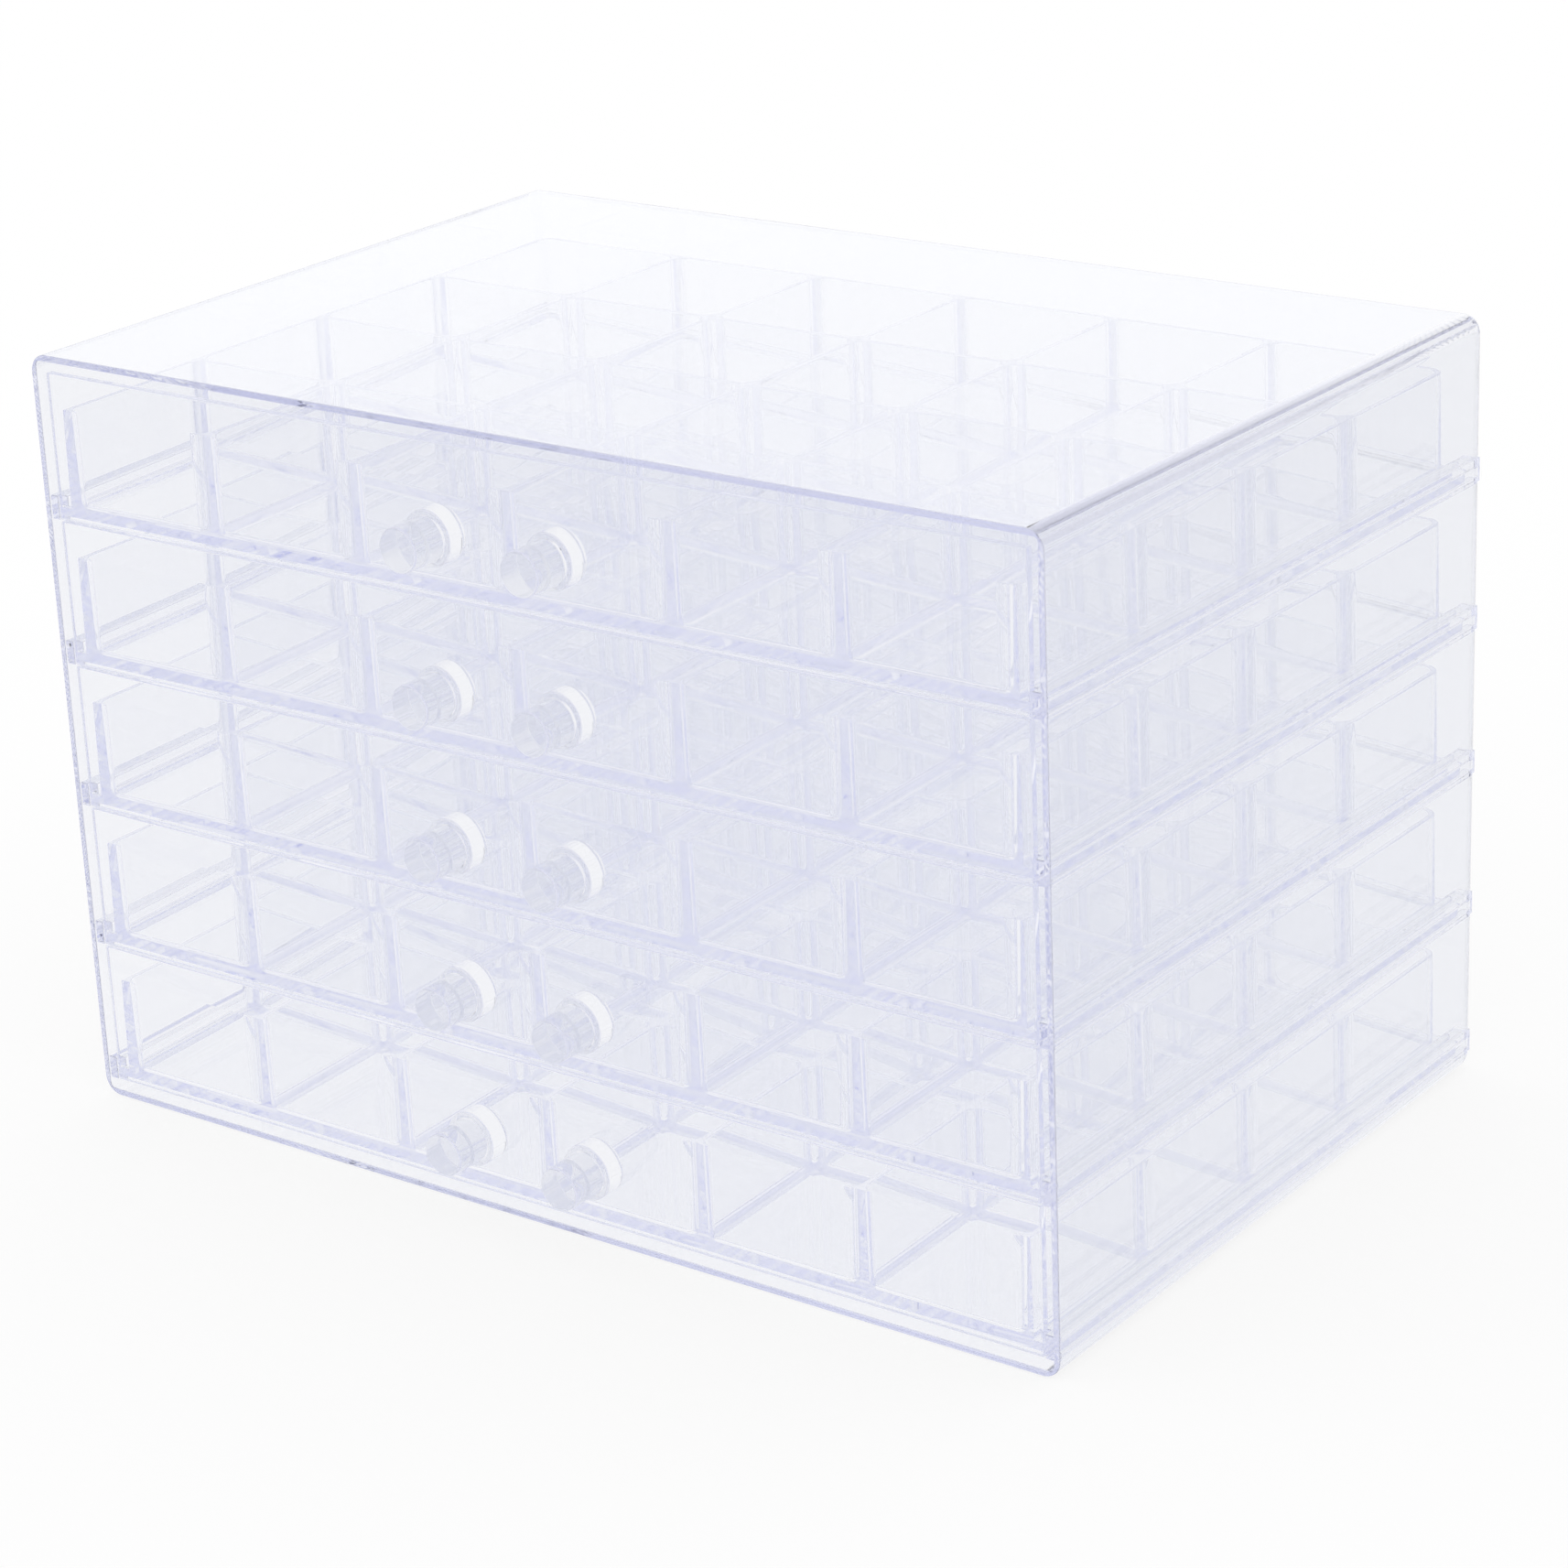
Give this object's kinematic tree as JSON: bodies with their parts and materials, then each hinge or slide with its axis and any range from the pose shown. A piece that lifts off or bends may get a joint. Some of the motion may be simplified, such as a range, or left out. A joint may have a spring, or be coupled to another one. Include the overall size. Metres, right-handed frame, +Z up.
{
  "type": "drawer organizer",
  "caption": "Clear plastic box with stacked pull-out drawers, each a divided tray with two knobs, for small things such as nail varnish, studs or beads.",
  "frame": {"origin": "middle of the case's underside, between its side walls and between its front rim and its back", "axes": "+Z up; the drawers pull out along -Y; +X is to the right of someone facing the drawers"},
  "size_m": [0.24, 0.1728, 0.162],
  "materials": {
    "case_plastic": "clear gloss moulded plastic",
    "tray_plastic": "clear gloss moulded plastic",
    "knob_plastic": "clear gloss moulded plastic"
  },
  "bodies": {
    "case": {"case": "case_plastic"},
    "drawer_1": {"drawer_1_tray": "tray_plastic", "drawer_1_knob_left": "knob_plastic", "drawer_1_knob_right": "knob_plastic"},
    "drawer_2": {"drawer_2_tray": "tray_plastic", "drawer_2_knob_left": "knob_plastic", "drawer_2_knob_right": "knob_plastic"},
    "drawer_3": {"drawer_3_tray": "tray_plastic", "drawer_3_knob_left": "knob_plastic", "drawer_3_knob_right": "knob_plastic"},
    "drawer_4": {"drawer_4_tray": "tray_plastic", "drawer_4_knob_left": "knob_plastic", "drawer_4_knob_right": "knob_plastic"},
    "drawer_5": {"drawer_5_tray": "tray_plastic", "drawer_5_knob_left": "knob_plastic", "drawer_5_knob_right": "knob_plastic"}
  },
  "joints": [
    {"name": "drawer_1_slide", "type": "slide", "parent": "case", "child": "drawer_1", "axis": [0, -1, 0], "range_m": [0, 0.13]},
    {"name": "drawer_2_slide", "type": "slide", "parent": "case", "child": "drawer_2", "axis": [0, -1, 0], "range_m": [0, 0.13]},
    {"name": "drawer_3_slide", "type": "slide", "parent": "case", "child": "drawer_3", "axis": [0, -1, 0], "range_m": [0, 0.13]},
    {"name": "drawer_4_slide", "type": "slide", "parent": "case", "child": "drawer_4", "axis": [0, -1, 0], "range_m": [0, 0.13]},
    {"name": "drawer_5_slide", "type": "slide", "parent": "case", "child": "drawer_5", "axis": [0, -1, 0], "range_m": [0, 0.13]}
  ]
}
